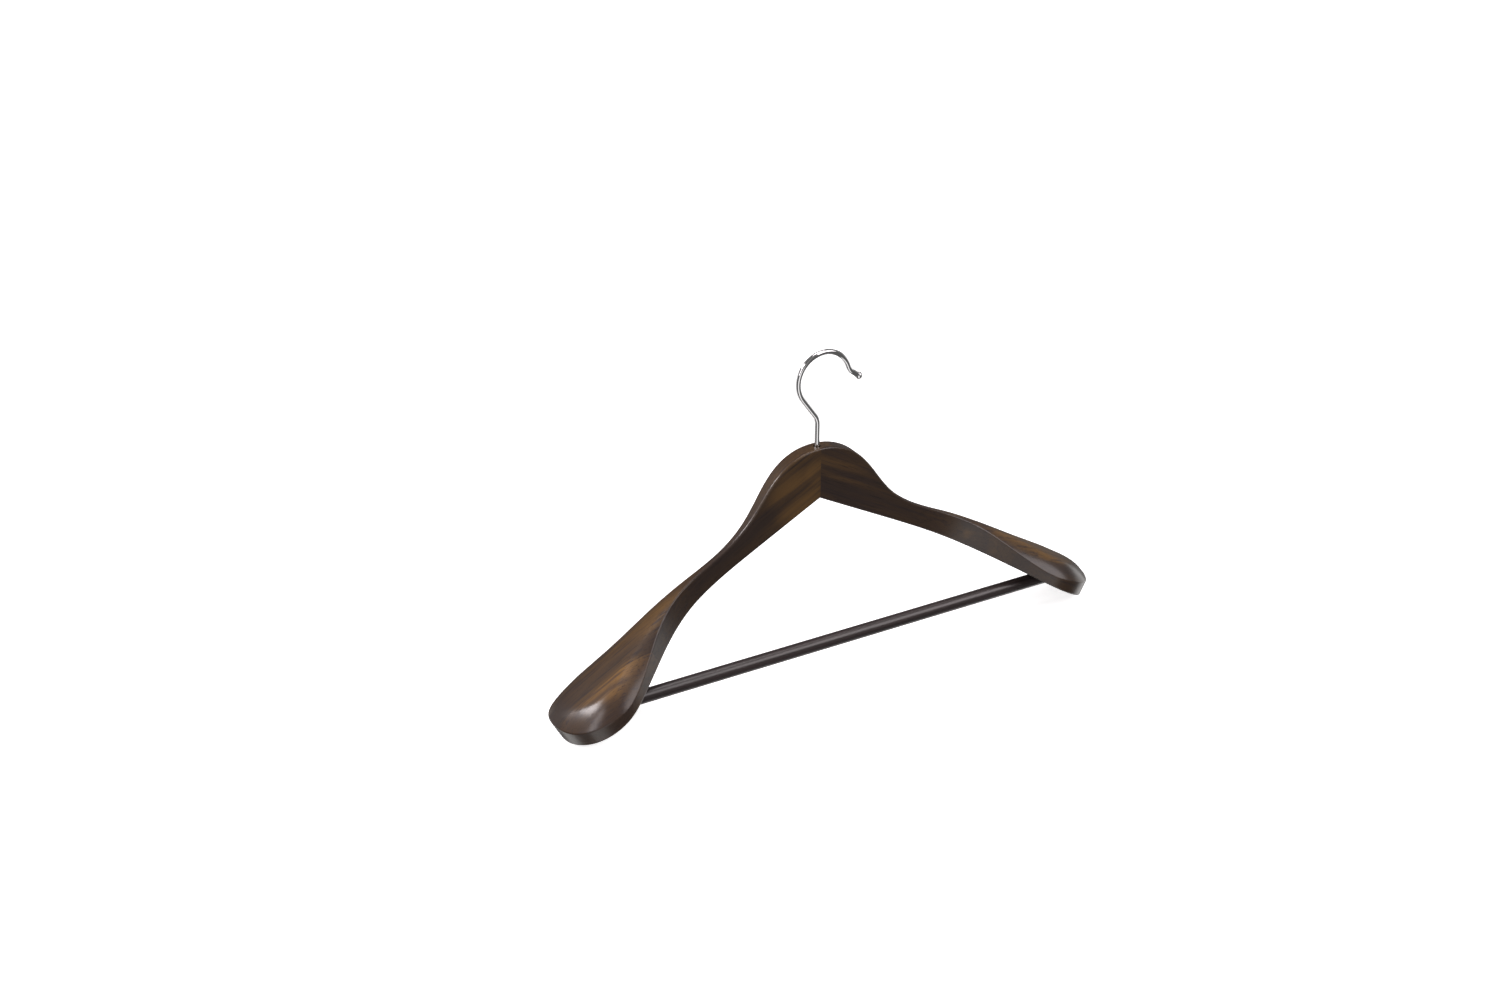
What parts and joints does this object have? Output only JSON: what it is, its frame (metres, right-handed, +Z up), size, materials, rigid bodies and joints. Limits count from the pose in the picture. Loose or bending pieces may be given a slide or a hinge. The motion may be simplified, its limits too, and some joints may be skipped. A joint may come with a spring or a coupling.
{
  "type": "clothes hanger",
  "caption": "Wide-shoulder wooden suit hanger with a swivelling chrome wire hook and a round trouser bar between its shoulders.",
  "frame": {"origin": "where the swivel axis meets the inner side of the hook, the seat of the rail", "axes": "+X to the right along the shoulders, the way the hook opens; +Y to the back; +Z up along the swivel axis"},
  "size_m": [0.4424, 0.0677, 0.2289],
  "materials": {
    "arm_wood": "walnut stain under semi-gloss lacquer",
    "block_wood": "walnut stain under semi-gloss lacquer",
    "bar_wood": "dark stain under semi-gloss lacquer",
    "hook_chrome": "polished chrome",
    "zinc_steel": "zinc plated"
  },
  "bodies": {
    "hook": {"hook": "hook_chrome", "hook_washer": "zinc_steel", "hook_nut": "zinc_steel"},
    "shoulders": {"left_arm": "arm_wood", "right_arm": "arm_wood", "left_shoulder_block": "block_wood", "right_shoulder_block": "block_wood", "trouser_bar": "bar_wood", "bar_brads": "zinc_steel", "hook_sleeve": "zinc_steel"}
  },
  "joints": [
    {"name": "hook_swivel", "type": "hinge", "parent": "hook", "child": "shoulders", "pos_m": [0, 0, 0], "axis": [0, 0, 1], "continuous": true}
  ]
}
